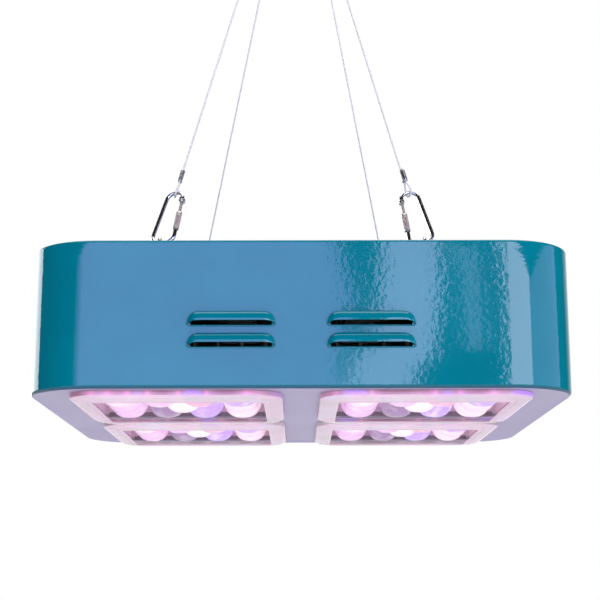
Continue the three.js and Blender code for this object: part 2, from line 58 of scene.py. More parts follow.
TRAY = {"width": 116.0, "depth": 124.0, "bottom": 1.8, "base": 7.5, "top": 9.0}
LENS = {"radius": 12.0, "pitch_x": 24.5, "pitch_y": 27.0, "shift_y": 4.0, "tip": -2.4}
LOUVER = {"length": 51.0, "out": 5.0, "lip": 2.4, "height": 8.3, "sheet": 0.9}
LOUVER_X, LOUVER_Z = (-40.0, 40.0), (23.0, 35.6)
LEDGE = {"low": 1.8, "high": 3.0, "reach": 9.2}  # the flange inside the walls that holds the lamp plate
FAN_X, FAN_BORE = 75.0, 43.0
EYE_X, EYE_Y, EYE_SHIFT = 78.6, 126.0, -5.2
EYE_TOP, EYE_HALF, EYE_WIRE = 7.8, 3.4, 1.1
HOOK = {
    "wire": 1.15, "top": 37.6, "arc": 5.4, "corner": 4.6,
    "wide": 5.8, "spine": -8.9, "seat": -3.1, "nose": 8.5, "rod_end": 31.6,
}
HINGE = {"height": 30.4, "ear_offset": 1.26, "ear_half": 0.42}
NUT = {"start": 9.0, "length": 12.8, "radius": 1.8, "bore": 1.3, "flutes": 12, "flute_depth": 0.3}
ROPE = {
    "radius": 0.6, "loop": 2.5, "twist": math.radians(30),
    "ferrule": 8.5, "ferrule_length": 8.5, "gap": 0.2, "strands": 6, "lay": 9,
}
RING = {"x": -3.2, "radius": 12.0, "wire": 1.5, "bottom": 428.0, "spacing": 2.2}

# Name, sides of the lamp, place along the ring, and the carabiner's turn in its eye.
CORNERS = [
    ("front_left", -1, -1, -1.5, math.pi / 8),
    ("front_right", 1, -1, 0.5, 0.0),
    ("rear_left", -1, 1, -0.5, 0.0),
    ("rear_right", 1, 1, 1.5, 0.0),
]
LAMP = "lamp"


def place(x, y, z):
    """A point of the lamp's own frame, in metres in the row frame."""
    return Vector(((x - RING["x"]) / 1000, y / 1000, (z - HANG) / 1000))


TO_ROW = Matrix.Translation(place(0, 0, 0)) @ Matrix.Scale(0.001, 4)


# ---------- camera ----------
def make_camera():
    pitch, yaw, roll = 0.2052, 0.0024, -0.0025
    data = bpy.data.cameras.new("camera")
    data.sensor_width = 36
    data.lens = 82.857
    data.clip_end = 50
    camera = bpy.data.objects.new("camera", data)
    bpy.context.scene.collection.objects.link(camera)
    turn = Matrix.Rotation(-yaw, 4, "Z")
    turn = turn @ Matrix.Rotation(math.pi / 2 + pitch, 4, "X") @ Matrix.Rotation(roll, 4, "Z")
    camera.matrix_world = Matrix.Translation(place(-2.57, -923.24, -110.59)) @ turn
    bpy.context.scene.camera = camera


make_camera()


# ---------- mesh helpers ----------
def new_object(name, mesh, body=LAMP, material=None, angle=35):
    """Links a mesh drawn in millimetres, puts it in the row frame and rides it on a CAD body."""
    mesh.transform(TO_ROW)
    mesh.update()
    obj = bpy.data.objects.new(name, mesh)
    bpy.context.scene.collection.objects.link(obj)
    if material:
        mesh.materials.clear()
        mesh.materials.append(material)
    if angle is not None:
        smooth(mesh, angle)
    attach(obj, body)
    return obj


def smooth(mesh, angle):
    mesh.shade_smooth()
    mesh.set_sharp_from_angle(angle=math.radians(angle))


def mesh_of(name, verts, faces):
    mesh = bpy.data.meshes.new(name)
    mesh.from_pydata([tuple(v) for v in verts], [], faces)
    mesh.update()
    return mesh


def fix_normals(mesh):
    bm = bmesh.new()
    bm.from_mesh(mesh)
    bmesh.ops.recalc_face_normals(bm, faces=bm.faces)
    bm.to_mesh(mesh)
    bm.free()


def rounded_outline(width, depth, radius, segments):
    """Points round a rounded rectangle, counter-clockwise, with the outward normal of each."""
    points = []
    for sx, sy, start in ((1, -1, -90), (1, 1, 0), (-1, 1, 90), (-1, -1, 180)):
        cx, cy = sx * (width / 2 - radius), sy * (depth / 2 - radius)
        for i in range(segments + 1):
            a = math.radians(start + 90 * i / segments)
            n = Vector((math.cos(a), math.sin(a), 0))
            points.append((Vector((cx, cy, 0)) + radius * n, n))
    return points


def bands(rows, count, wrapped=False, flipped=False):
    """Quads between rows of points, where each row closes on itself."""
    faces = []
    for r in range(rows if wrapped else rows - 1):
        a, b = r * count, ((r + 1) % rows) * count
        for i in range(count):
            j = (i + 1) % count
            faces.append((a + i, a + j, b + j, b + i) if flipped else (a + i, b + i, b + j, a + j))
    return faces


def swept_ring(name, outline, profile, closed=True, cap_top=False, cap_bottom=False):
    """A profile of (inset, z) pairs carried round an outline."""
    verts = []
    count, rows = len(outline), len(profile)
    for inset, z in profile:
        for point, normal in outline:
            verts.append(point - inset * normal + Vector((0, 0, z)))
    faces = bands(rows, count, wrapped=closed)
    if cap_top:
        faces.append(tuple(range(count)))
    if cap_bottom:
        faces.append(tuple(range((rows - 1) * count, rows * count)))
    mesh = mesh_of(name, verts, faces)
    fix_normals(mesh)
    return mesh


def arc(cx, cz, radius, start, end, steps):
    """Points (x, z) of an arc, with angles in degrees."""
    angles = [math.radians(start + (end - start) * i / steps) for i in range(steps + 1)]
    return [(cx + radius * math.cos(a), cz + radius * math.sin(a)) for a in angles]


def lathe(name, profile, segments):
    """A closed body of revolution about Z from (radius, z) pairs that start and end on the axis."""
    verts, faces, rings = [], [], []
    for radius, z in profile:
        if radius < 1e-6:
            rings.append([len(verts)])
            verts.append((0, 0, z))
            continue
        rings.append(list(range(len(verts), len(verts) + segments)))
        for i in range(segments):
            a = 2 * math.pi * i / segments
            verts.append((radius * math.cos(a), radius * math.sin(a), z))
    for low, high in zip(rings, rings[1:]):
        for i in range(segments):
            j = (i + 1) % segments
            if len(low) == 1:
                faces.append((low[0], high[j], high[i]))
            elif len(high) == 1:
                faces.append((low[i], low[j], high[0]))
            else:
                faces.append((low[i], low[j], high[j], high[i]))
    mesh = mesh_of(name, verts, faces)
    fix_normals(mesh)
    return mesh


def joined(name, parts):
    """One mesh from (mesh, matrix) pairs."""
    bm = bmesh.new()
    for mesh, matrix in parts:
        start = len(bm.verts)
        bm.from_mesh(mesh)
        bm.verts.ensure_lookup_table()
        bmesh.ops.transform(bm, matrix=matrix, verts=bm.verts[start:])
    out = bpy.data.meshes.new(name)
    bm.to_mesh(out)
    bm.free()
    return out


def box_mesh(x0, x1, y0, y1, z0, z1):
    corners = [(x, y, z) for z in (z0, z1) for y in (y0, y1) for x in (x0, x1)]
    quads = [(0, 2, 3, 1), (4, 5, 7, 6), (0, 1, 5, 4), (2, 6, 7, 3), (0, 4, 6, 2), (1, 3, 7, 5)]
    return mesh_of("box", corners, quads)


def cylinder_mesh(radius, z0, z1, segments=48):
    return lathe("cylinder", [(0, z0), (radius, z0), (radius, z1), (0, z1)], segments)


def cut(mesh, cutters):
    """Takes cutter meshes away from a closed mesh."""
    target = bpy.data.objects.new("cut_target", mesh)
    tool = bpy.data.objects.new("cut_tool", joined("cut_tool", cutters))
    for obj in (target, tool):
        bpy.context.scene.collection.objects.link(obj)
    modifier = target.modifiers.new("cut", "BOOLEAN")
    modifier.operation = "DIFFERENCE"
    modifier.solver = "EXACT"
    modifier.object = tool
    bpy.context.view_layer.update()
    evaluated = target.evaluated_get(bpy.context.evaluated_depsgraph_get())
    result = bpy.data.meshes.new_from_object(evaluated)
    for obj in (target, tool):
        bpy.data.objects.remove(obj)
    return result


def turned(degrees, x=0.0, y=0.0, z=0.0):
    return Matrix.Rotation(math.radians(degrees), 4, "Z") @ Matrix.Translation((x, y, z))


def centripetal(points, steps):
    """A smooth line through control points, with the given number of steps in each stretch."""
    full = [2 * points[0] - points[1], *points, 2 * points[-1] - points[-2]]
    line = []
    for p0, p1, p2, p3 in zip(full, full[1:], full[2:], full[3:]):
        t0 = 0.0
        t1 = t0 + max((p1 - p0).length, 1e-9) ** 0.5
        t2 = t1 + max((p2 - p1).length, 1e-9) ** 0.5
        t3 = t2 + max((p3 - p2).length, 1e-9) ** 0.5
        count = max(1, int(round((p2 - p1).length / steps)))
        for i in range(count):
            t = t1 + (t2 - t1) * i / count
            a1 = p0 * ((t1 - t) / (t1 - t0)) + p1 * ((t - t0) / (t1 - t0))
            a2 = p1 * ((t2 - t) / (t2 - t1)) + p2 * ((t - t1) / (t2 - t1))
            a3 = p2 * ((t3 - t) / (t3 - t2)) + p3 * ((t - t2) / (t3 - t2))
            b1 = a1 * ((t2 - t) / (t2 - t0)) + a2 * ((t - t0) / (t2 - t0))
            b2 = a2 * ((t3 - t) / (t3 - t1)) + a3 * ((t - t1) / (t3 - t1))
            line.append(b1 * ((t2 - t) / (t2 - t1)) + b2 * ((t - t1) / (t2 - t1)))
    line.append(points[-1])
    return line


def tube(name, line, section, twist_per_mm=0.0, taper=None):
    """A closed tube that carries a section of (x, y) points along a line, turning it as it goes."""
    verts = []
    tangent = (line[1] - line[0]).normalized()
    side = tangent.orthogonal().normalized()
    travelled, count = 0.0, len(section)
    for i, point in enumerate(line):
        ahead = line[min(i + 1, len(line) - 1)] - line[max(i - 1, 0)]
        tangent = ahead.normalized()
        side = (side - tangent * side.dot(tangent)).normalized()
        other = tangent.cross(side)
        if i:
            travelled += (point - line[i - 1]).length
        c, s = math.cos(twist_per_mm * travelled), math.sin(twist_per_mm * travelled)
        scale = taper(i) if taper else 1.0
        for x, y in section:
            verts.append(point + side * (scale * (c * x - s * y)) + other * (scale * (s * x + c * y)))
    faces = bands(len(line), count, flipped=True)
    faces.append(tuple(reversed(range(count))))
    faces.append(tuple((len(line) - 1) * count + i for i in range(count)))
    return mesh_of(name, verts, faces)


def circle(radius, sides):
    angles = [2 * math.pi * i / sides for i in range(sides)]
    return [(radius * math.cos(a), radius * math.sin(a)) for a in angles]


# ---------- materials ----------
def material(name, color, roughness=0.4, metallic=0.0, **sockets):
    """A Principled material. Extra sockets are set by name, with _ for a space."""
    mat = bpy.data.materials.new(name)
    mat.use_nodes = True
    shader = mat.node_tree.nodes["Principled BSDF"]
    shader.inputs["Base Color"].default_value = (*color, 1)
    shader.inputs["Roughness"].default_value = roughness
    shader.inputs["Metallic"].default_value = metallic
    for socket, value in sockets.items():
        shader.inputs[socket.replace("_", " ")].default_value = value
    return mat


def nodes_of(mat):
    tree = mat.node_tree
    return tree.nodes, tree.links, tree.nodes["Principled BSDF"]


def noise_node(mat, scale, detail=2.0, stretch=(1, 1, 1)):
    """Noise in the object's own coordinates, with scale in cycles per metre."""
    nodes, links, _ = nodes_of(mat)
    coords = nodes.new("ShaderNodeTexCoord")
    mapping = nodes.new("ShaderNodeMapping")
    mapping.inputs["Scale"].default_value = stretch
    texture = nodes.new("ShaderNodeTexNoise")
    texture.inputs["Scale"].default_value = scale
    texture.inputs["Detail"].default_value = detail
    links.new(coords.outputs["Object"], mapping.inputs["Vector"])
    links.new(mapping.outputs["Vector"], texture.inputs["Vector"])
    return texture


def add_bump(mat, source, strength, distance, chain=None):
    nodes, links, shader = nodes_of(mat)
    bump = nodes.new("ShaderNodeBump")
    bump.inputs["Strength"].default_value = strength
    bump.inputs["Distance"].default_value = distance
    links.new(source, bump.inputs["Height"])
    if chain:
        links.new(chain.outputs["Normal"], bump.inputs["Normal"])
    links.new(bump.outputs["Normal"], shader.inputs["Normal"])
    return bump


def map_range(nodes, links, source, start, end):
    """Spreads a value from start to end over 0 to 1."""
    spread = nodes.new("ShaderNodeMapRange")
    spread.inputs["From Min"].default_value = start
    spread.inputs["From Max"].default_value = end
    links.new(source, spread.inputs["Value"])
    return spread


def color_mix(nodes, links, factor):
    mix = nodes.new("ShaderNodeMix")
    mix.data_type = "RGBA"
    links.new(factor, mix.inputs["Factor"])
    return mix


def color_ramp(nodes, links, source, stops):
    """A ramp through (position, colour) stops."""
    ramp = nodes.new("ShaderNodeValToRGB")
    elements = ramp.color_ramp.elements
    while len(elements) < len(stops):
        elements.new(0.5)
    for element, (position, color) in zip(elements, stops):
        element.position = position
        element.color = (*color, 1)
    links.new(source, ramp.inputs["Fac"])
    return ramp


def own_height(nodes, links):
    """The height of a point in the object's own coordinates."""
    coords = nodes.new("ShaderNodeTexCoord")
    split = nodes.new("ShaderNodeSeparateXYZ")
    links.new(coords.outputs["Object"], split.inputs["Vector"])
    return split.outputs["Z"]


def ramp_between(mat, source, low, high, start, end, socket):
    """Drives a shader socket from one value or colour to another."""
    nodes, links, shader = nodes_of(mat)
    spread = map_range(nodes, links, source, start, end)
    if isinstance(low, (int, float)):
        spread.inputs["To Min"].default_value = low
        spread.inputs["To Max"].default_value = high
        links.new(spread.outputs["Result"], shader.inputs[socket])
        return
    mix = color_mix(nodes, links, spread.outputs["Result"])
    mix.inputs["A"].default_value = (*low, 1)
    mix.inputs["B"].default_value = (*high, 1)
    links.new(mix.outputs["Result"], shader.inputs[socket])


def teal_paint():
    """Glossy teal paint with orange peel, over slow waves in the sheet, and painted shade along the bottom
    fold, which faces down.
    """
    mat = material("teal_paint", (0.0, 0.23, 0.27), roughness=0.05, IOR=1.5)
    waves = noise_node(mat, 9, 1.0)
    peel = noise_node(mat, 280, 3.0)
    first = add_bump(mat, waves.outputs["Fac"], 0.2, 0.0014)
    add_bump(mat, peel.outputs["Fac"], 0.26, 0.00016, chain=first)
    nodes, links, shader = nodes_of(mat)
    tone = noise_node(mat, 30, 3.0)
    stops = [(0.35, (0.0, 0.160, 0.180)), (0.65, (0.0, 0.174, 0.194))]
    paint = color_ramp(nodes, links, tone.outputs["Fac"], stops)
    # Painted shade: the paint is darker over the bottom fold, which faces down and gets little light.
    fold = map_range(nodes, links, own_height(nodes, links), place(0, 0, 1.4).z, place(0, 0, 0.6).z)
    mix = color_mix(nodes, links, fold.outputs["Result"])
    mix.inputs["B"].default_value = (0.004, 0.07, 0.10, 1)
    links.new(paint.outputs["Color"], mix.inputs["A"])
    links.new(mix.outputs["Result"], shader.inputs["Base Color"])
    return mat


def white_paint():
    # Painted light: the lavender colours here stand for the LEDs' purple light falling on white paint.
    mat = material("white_paint", (0.62, 0.56, 0.74), roughness=0.42)
    grain = noise_node(mat, 900, 2.0)
    add_bump(mat, grain.outputs["Fac"], 0.15, 0.0001)
    tone = noise_node(mat, 12, 2.0)
    shade, tint = (0.315, 0.272, 0.40), (0.345, 0.297, 0.425)
    ramp_between(mat, tone.outputs["Fac"], shade, tint, 0.35, 0.65, "Base Color")
    return mat


def brushed(name, color, roughness, scale=500, stretch=(1, 1, 0.05), metallic=1.0):
    mat = material(name, color, roughness=roughness, metallic=metallic)
    grain = noise_node(mat, scale, 3.0, stretch)
    ramp_between(mat, grain.outputs["Fac"], roughness * 0.7, roughness * 1.35, 0.3, 0.7, "Roughness")
    add_bump(mat, grain.outputs["Fac"], 0.08, 0.00006)
    return mat


def black_plastic():
    mat = material("black_plastic", (0.012, 0.012, 0.014), roughness=0.42)
    grain = noise_node(mat, 1500, 2.0)
    add_bump(mat, grain.outputs["Fac"], 0.2, 0.00005)
    ramp_between(mat, grain.outputs["Fac"], 0.36, 0.5, 0.3, 0.7, "Roughness")
    return mat


def textured(mat, scale, roughness, bump, stretch=(1, 1, 1)):
    """Gives a material a fine grain: its roughness varies, and its surface is slightly uneven."""
    grain = noise_node(mat, scale, 3.0, stretch)
    ramp_between(mat, grain.outputs["Fac"], *roughness, 0.3, 0.7, "Roughness")
    add_bump(mat, grain.outputs["Fac"], 0.15, bump)
    return mat


def lens_material(name, rim, glow, strength):
    """A clear moulded lens lit from behind: it glows in its middle, and its edge is darker and tinted."""
    mat = material(name, rim, roughness=0.08, IOR=1.49, Coat_Weight=0.3, Coat_Roughness=0.03)
    nodes, links, shader = nodes_of(mat)
    shader.inputs["Emission Strength"].default_value = strength
    facing = nodes.new("ShaderNodeLayerWeight")
    facing.inputs["Blend"].default_value = 0.5
    swirl = noise_node(mat, 140, 2.0)
    spread = map_range(nodes, links, facing.outputs["Facing"], 0.25, 0.95)
    edge = color_mix(nodes, links, spread.outputs["Result"])
    edge.inputs["A"].default_value = (*glow, 1)
    edge.inputs["B"].default_value = (*rim, 1)
    patch = map_range(nodes, links, swirl.outputs["Fac"], 0.5, 0.72)
    patch.inputs["To Max"].default_value = 0.6
    mix = color_mix(nodes, links, patch.outputs["Result"])
    mix.inputs["B"].default_value = (1.0, 0.9, 0.95, 1)
    links.new(edge.outputs["Result"], mix.inputs["A"])
    links.new(mix.outputs["Result"], shader.inputs["Emission Color"])
    return mat


# Painted light along a cover's low wall, by noise value: painted glow spots for the front covers, and painted
# soft shade for the rear covers.
WALL_GLOWS = [
    (0.36, (0.40, 0.18, 0.26)), (0.47, (0.58, 0.28, 0.40)), (0.53, (0.88, 0.36, 0.62)),
    (0.58, (0.56, 0.32, 0.42)), (0.66, (0.62, 0.34, 0.95)),
]
WALL_SHADE = [(0.35, (0.42, 0.30, 0.31)), (0.5, (0.78, 0.66, 0.66)), (0.65, (0.60, 0.46, 0.50))]
# Cloudy tints of the cover's face, which also give its painted glow.
FACE_TINTS_AND_GLOW = [(0.35, (0.53, 0.44, 0.47)), (0.5, (0.64, 0.43, 0.53)), (0.62, (0.57, 0.48, 0.57))]


def cover_plastic(name, wall_stops):
    """The cover's frosted border: milky on its face, with the painted light of the given stops on the low
    wall round it, and a faint painted glow all over.
    """
    mat = material(name, (0.8, 0.7, 0.8), roughness=0.16, IOR=1.49, Alpha=0.86)
    nodes, links, shader = nodes_of(mat)
    # Painted glow: the border gives off faint light in its own colours, standing for the LED light inside it.
    shader.inputs["Emission Strength"].default_value = 0.24
    wall_low = place(0, 0, -COVER["step"]).z
    side = map_range(nodes, links, own_height(nodes, links), wall_low, wall_low + 0.0002)
    spots = noise_node(mat, 42, 0.0, (1, 0.01, 0.01))
    painted_wall_light = color_ramp(nodes, links, spots.outputs["Fac"], wall_stops)
    cloud = noise_node(mat, 26, 2.0)
    face_tint_and_glow = color_ramp(nodes, links, cloud.outputs["Fac"], FACE_TINTS_AND_GLOW)
    mix = color_mix(nodes, links, side.outputs["Result"])
    links.new(face_tint_and_glow.outputs["Color"], mix.inputs["A"])
    links.new(painted_wall_light.outputs["Color"], mix.inputs["B"])
    links.new(mix.outputs["Result"], shader.inputs["Base Color"])
    links.new(mix.outputs["Result"], shader.inputs["Emission Color"])
    ripple = noise_node(mat, 220, 2.0)
    add_bump(mat, ripple.outputs["Fac"], 0.2, 0.0001)
    return mat


TEAL = teal_paint()
WHITE = white_paint()
CHROME = brushed("hardware_chrome", (0.62, 0.61, 0.60), 0.14, 700, (1, 1, 1))
NUT_STEEL = brushed("nut_steel", (0.60, 0.50, 0.44), 0.30, 800, (1, 1, 1), metallic=0.6)
WIRE = brushed("rope_wire", (0.70, 0.68, 0.60), 0.45, 900, (1, 1, 1), metallic=0.2)
ALUMINIUM = brushed("crimped_aluminium", (0.50, 0.50, 0.51), 0.34, 800, (1, 1, 1))
BLACK = black_plastic()
# Lit and shaded copies of one plastic: painted glow on the front covers' walls, painted shade on the rear
# covers' walls.
MILKY_FRONT_PAINTED_GLOW = cover_plastic("cover_plastic_front_painted_glow", WALL_GLOWS)
MILKY_REAR_PAINTED_SHADE = cover_plastic("cover_plastic_rear_painted_shade", WALL_SHADE)
CLEAR = material("clear_window", (0.95, 0.82, 0.94), Alpha=0.05, IOR=1.49)
textured(CLEAR, 300, (0.02, 0.06), 0.00005)
# Painted glow: the tray gives off faint light, standing for the LED light on it.
TRAY_PAINTED_GLOW = material(
    "lens_tray_painted_glow", (0.50, 0.32, 0.42), Emission_Color=(0.62, 0.40, 0.54, 1), Emission_Strength=0.22
)
textured(TRAY_PAINTED_GLOW, 200, (0.25, 0.4), 0.0001)
# Painted shade: a dark strip stands for the tray's rear wall in shadow.
SHADE_STRIP = textured(material("painted_shade_strip", (0.08, 0.03, 0.07)), 260, (0.25, 0.4), 0.0001)
# Each kind of lens: the colour of its rim and of its glow, and the glow's strength.
GLOWS = {
    "pink": ((0.42, 0.22, 0.38), (0.90, 0.55, 0.95), 0.75),
    "violet": ((0.30, 0.18, 0.50), (0.48, 0.28, 1.0), 0.80),
    "white": ((0.45, 0.30, 0.40), (1.0, 0.76, 0.86), 0.80),
    "cream": ((0.50, 0.38, 0.40), (1.0, 0.86, 0.86), 0.78),
    "red": ((0.42, 0.20, 0.30), (1.0, 0.42, 0.62), 0.70),
    "dark": ((0.20, 0.11, 0.22), (0.38, 0.22, 0.46), 0.45),
}
LENS_MATERIALS = {name: lens_material(f"lens_{name}", *glow) for name, glow in GLOWS.items()}


# ---------- ropes ----------
def corner_frame(x, y, slot, turn):
    """The frame of one corner, as in the CAD.

    U runs from the carabiner's spine to its gate, V along its gate, and N across it. R runs up the rope from
    the eye's seat, and P across it in the carabiner's plane. ring_side runs across the ring's wire.
    """
    seat_height = HEIGHT + EYE_TOP - 2 * EYE_WIRE - 0.3 - HOOK["wire"]
    seat = Vector((EYE_SHIFT + x * EYE_X, y * EYE_Y, seat_height))
    along = slot * RING["spacing"]
    rise = RING["radius"] - math.sqrt(RING["radius"] ** 2 - along ** 2)
    top = Vector((RING["x"] + along, 0, RING["bottom"] + rise))
    inward = Vector((-x * math.cos(turn), y * math.sin(turn), 0))
    r = (top - seat).normalized()
    p = (inward - r * inward.dot(r)).normalized()
    lean = math.atan2(-HOOK["seat"], HOOK["top"])
    v = r * math.cos(lean) - p * math.sin(lean)
    u = p * math.cos(lean) + r * math.sin(lean)
    base = seat - u * HOOK["seat"]
    ring_side = Vector((-x, 0, 0)).cross(r).normalized()
    grip = base + v * HOOK["top"]
    return {
        "base": base, "U": u, "V": v, "N": p.cross(r), "R": r, "P": p,
        "top": top, "grip": grip, "ring_side": ring_side,
    }


def rope_ends(f):
    """The middle, sideways direction and ferrule direction of a rope's low and high loops."""
    q = f["N"] * math.cos(ROPE["twist"]) + f["P"] * math.sin(ROPE["twist"])
    return (f["grip"], q, f["R"]), (f["top"], f["ring_side"], -f["R"])


def rope_end_points(middle, q, v):
    """Points round a rope's end loop and through its ferrule, from the cut end to the running rope."""
    side = ROPE["radius"] + ROPE["gap"] / 2
    r, start, length = ROPE["loop"], ROPE["ferrule"], ROPE["ferrule_length"]
    flat = [
        (-side, start + length + 1.2), (-side, start + length / 2), (-side, start),
        (-0.55 * r, 0.68 * start), (-0.9 * r, 0.34 * start), (-r, 0),
        (-0.71 * r, -0.71 * r), (0, -r), (0.71 * r, -0.71 * r),
        (r, 0), (0.9 * r, 0.34 * start), (0.55 * r, 0.68 * start),
        (side, start), (side, start + length / 2), (side, start + length + 3),
    ]
    return [middle + q * a + v * b for a, b in flat]


def lobed(radius, lobes, points):
    """A rope's section: round strands side by side about the middle."""
    section = []
    for i in range(points):
        a = 2 * math.pi * i / points
        swell = abs(math.cos(lobes * a / 2))
        r = radius * (0.86 + 0.14 * swell ** 0.8)
        section.append((r * math.cos(a), r * math.sin(a)))
    return section


def make_ropes():
    """Each rope with its name, its path for the cord's row, its length and the place where it leaves."""
    ropes = []
    for name, *corner in CORNERS:
        low, high = rope_ends(corner_frame(*corner))
        points = rope_end_points(*low) + list(reversed(rope_end_points(*high)))
        line = centripetal(points, 0.7)
        section = lobed(ROPE["radius"], ROPE["strands"], 30)
        mesh = tube(f"rope_{name}", line, section, twist_per_mm=2 * math.pi / ROPE["lay"])
        rope = new_object(f"rope_{name}", mesh, material=WIRE, angle=None)
        mesh.shade_smooth()
        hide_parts(f"wire_rope_{name}")
        path = [place(*p) for p in line[::3] + [line[-1]]]
        length = sum((b - a).length for a, b in zip(line, line[1:])) / 1000
        ropes.append((name, rope, path, length, place(*low[0])))
    return ropes


ROPES = make_ropes()


def make_ferrule(name, end, frame_name):
    """A crimped oval sleeve, pinched where the press closed it."""
    middle, q, v = end
    side = ROPE["radius"] + ROPE["gap"] / 2
    wall = 0.75
    start, length = ROPE["ferrule"], ROPE["ferrule_length"]
    section = []
    for i in range(32):
        a = 2 * math.pi * i / 32
        r = ROPE["radius"] + wall
        section.append((r * math.cos(a) + (side if math.cos(a) > 0 else -side), r * math.sin(a)))
    rows = 26
    line = [middle + v * (start + length * i / rows) for i in range(rows + 1)]
    cross = v.cross(q)
    verts = []
    for i, point in enumerate(line):
        t = i / rows
        dent = 0.10 * (math.cos(2 * math.pi * 3 * t) * 0.5 + 0.5) * (0.1 < t < 0.9)
        end_round = 1 - 0.18 * (max(0.0, abs(t - 0.5) - 0.44) / 0.06) ** 2
        for a, b in section:
            wide, thin = a * end_round * (1 + dent * 0.4), b * end_round * (1 - dent)
            verts.append(point + q * wide + cross * thin)
    count = len(section)
    faces = bands(rows + 1, count, flipped=True)
    faces.append(tuple(reversed(range(count))))
    faces.append(tuple(rows * count + i for i in range(count)))
    mesh = mesh_of(name, verts, faces)
    fix_normals(mesh)
    obj = new_object(name, mesh, material=ALUMINIUM, angle=50)
    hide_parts(frame_name)
    return obj


def make_ring():
    """The hanging ring: a tube round a full circle, with its two end caps taken out and its ends joined."""
    radius, steps = RING["radius"], 96
    line = []
    for i in range(steps + 1):
        a = 2 * math.pi * i / steps
        height = RING["bottom"] + radius * (1 - math.cos(a))
        line.append(Vector((RING["x"] + radius * math.sin(a), 0, height)))
    mesh = tube("ring", line, circle(RING["wire"], 24))
    bm = bmesh.new()
    bm.from_mesh(mesh)
    bmesh.ops.remove_doubles(bm, verts=bm.verts, dist=0.001)
    bmesh.ops.delete(bm, geom=[f for f in bm.faces if len(f.verts) > 4], context="FACES")
    bm.to_mesh(mesh)
    bm.free()
    fix_normals(mesh)
    obj = new_object("hanging_ring", mesh, body="ring", material=CHROME, angle=60)
    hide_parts("hang_ring")
    return obj


def dress_ropes():
    """Makes the ring and the ferrules."""
    ring = make_ring()
    for name, *corner in CORNERS:
        low, high = rope_ends(corner_frame(*corner))
        make_ferrule(f"crimp_low_{name}", low, f"ferrule_low_{name}")
        make_ferrule(f"crimp_high_{name}", high, f"ferrule_high_{name}")


dress_ropes()


# ---------- carabiners and eyes ----------
def hook_line():
    """The carabiner's centreline in its own (u, v), from its nose to its hinge."""
    top, arc_r, corner, wide = HOOK["top"], HOOK["arc"], HOOK["corner"], HOOK["wide"]
    wide_x = HOOK["spine"] + wide
    dx, dy = -wide_x, top - arc_r - wide
    lean = math.atan2(dy, dx) + math.acos((wide - arc_r) / math.hypot(dx, dy))
    lean_deg = math.degrees(lean)
    line = [(arc_r, HOOK["nose"] - 0.2)]
    line += arc(arc_r - corner, corner, corner, 0, -90, 10)
    line += arc(wide_x, wide, wide, -90, lean_deg - 360, 22)
    line += arc(0, top - arc_r, arc_r, lean_deg, 0, 20)
    line.append((arc_r, HOOK["rod_end"]))
    return line


def in_frame(f, u, v, n=0.0):
    return f["base"] + f["U"] * u + f["V"] * v + f["N"] * n


def even_line(points, step):
    """The same line with points at even steps, and straight stretches kept straight."""
    line = [points[0]]
    for a, b in zip(points, points[1:]):
        count = max(1, int((b - a).length / step))
        line += [a + (b - a) * (i + 1) / count for i in range(count)]
    return line


def frame_matrix(f, u, v):
    """A turn that carries X, Y and Z to a corner's U, N and V, at a point of its carabiner."""
    rows = Matrix((f["U"], -f["N"], f["V"])).transposed().to_4x4()
    return Matrix.Translation(in_frame(f, u, v)) @ rows


ACROSS = Matrix.Rotation(math.pi / 2, 4, "X")  # lays a body of revolution across the carabiner


def add_hardware(kind, name, parts, node, body=LAMP, metal=CHROME):
    """One steel piece at a corner, from (mesh, matrix) parts, that stands for a CAD node."""
    mesh = joined(kind, parts)
    piece = new_object(f"{kind}_{name}", mesh, body=body, material=metal, angle=40)
    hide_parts(f"{node}_{name}")


def make_hook(name, f):
    """The bent rod, with two ears at its hinge and a thinner tip at its nose."""
    points = [in_frame(f, u, v) for u, v in hook_line()]
    rod = tube("rod", even_line(points, 1.2), circle(HOOK["wire"], 20))
    half, offset = HINGE["ear_half"], HINGE["ear_offset"]
    ear = lathe("ear", [(0, -half), (1.35, -half), (1.55, -0.25), (1.55, 0.25), (1.35, half), (0, half)], 28)
    hinge = frame_matrix(f, HOOK["arc"], HINGE["height"])
    parts = [(rod, Matrix())]
    for side in (-1, 1):
        parts.append((ear, hinge @ Matrix.Translation((0, side * offset, 0)) @ ACROSS))
        web = box_mesh(-1.15, 1.15, side * offset - half, side * offset + half, 0, 2.2)
        parts.append((web, hinge))
    tip = lathe("tip", [(0, -2.6), (0.98, -2.6), (0.98, -0.35), (0.7, 0), (0, 0)], 20)
    parts.append((tip, frame_matrix(f, HOOK["arc"], HOOK["nose"])))
    add_hardware("hook", name, parts, "carabiner_hook")


def make_gate(name, f):
    """The gate's rod, threaded at its free end, with a flat tongue and a knuckle between the ears."""
    low, turns, pitch = 8.85, 8, 0.45
    root, crest = 0.82, 0.98
    rod_top = HINGE["height"] - 1.9
    shank = [(0, low)]
    for i in range(turns):
        z = low + i * pitch
        shank += [(root, z), (crest, z + 0.5 * pitch)]
    shank += [(crest, low + turns * pitch), (crest, rod_top - 0.4), (0.6, rod_top), (0, rod_top)]
    rod = lathe("gate", shank, 20)
    tongue = box_mesh(-0.9, 0.9, -0.5, 0.5, -2.6, 0)
    knuckle = lathe("knuckle", [(0, -0.5), (1.0, -0.5), (1.1, -0.4), (1.1, 0.4), (1.0, 0.5), (0, 0.5)], 24)
    hinge = frame_matrix(f, HOOK["arc"], HINGE["height"])
    parts = [(rod, frame_matrix(f, HOOK["arc"], 0)), (tongue, hinge), (knuckle, hinge @ ACROSS)]
    add_hardware("gate", name, parts, "carabiner_gate", body=f"gate_{name}", metal=NUT_STEEL)


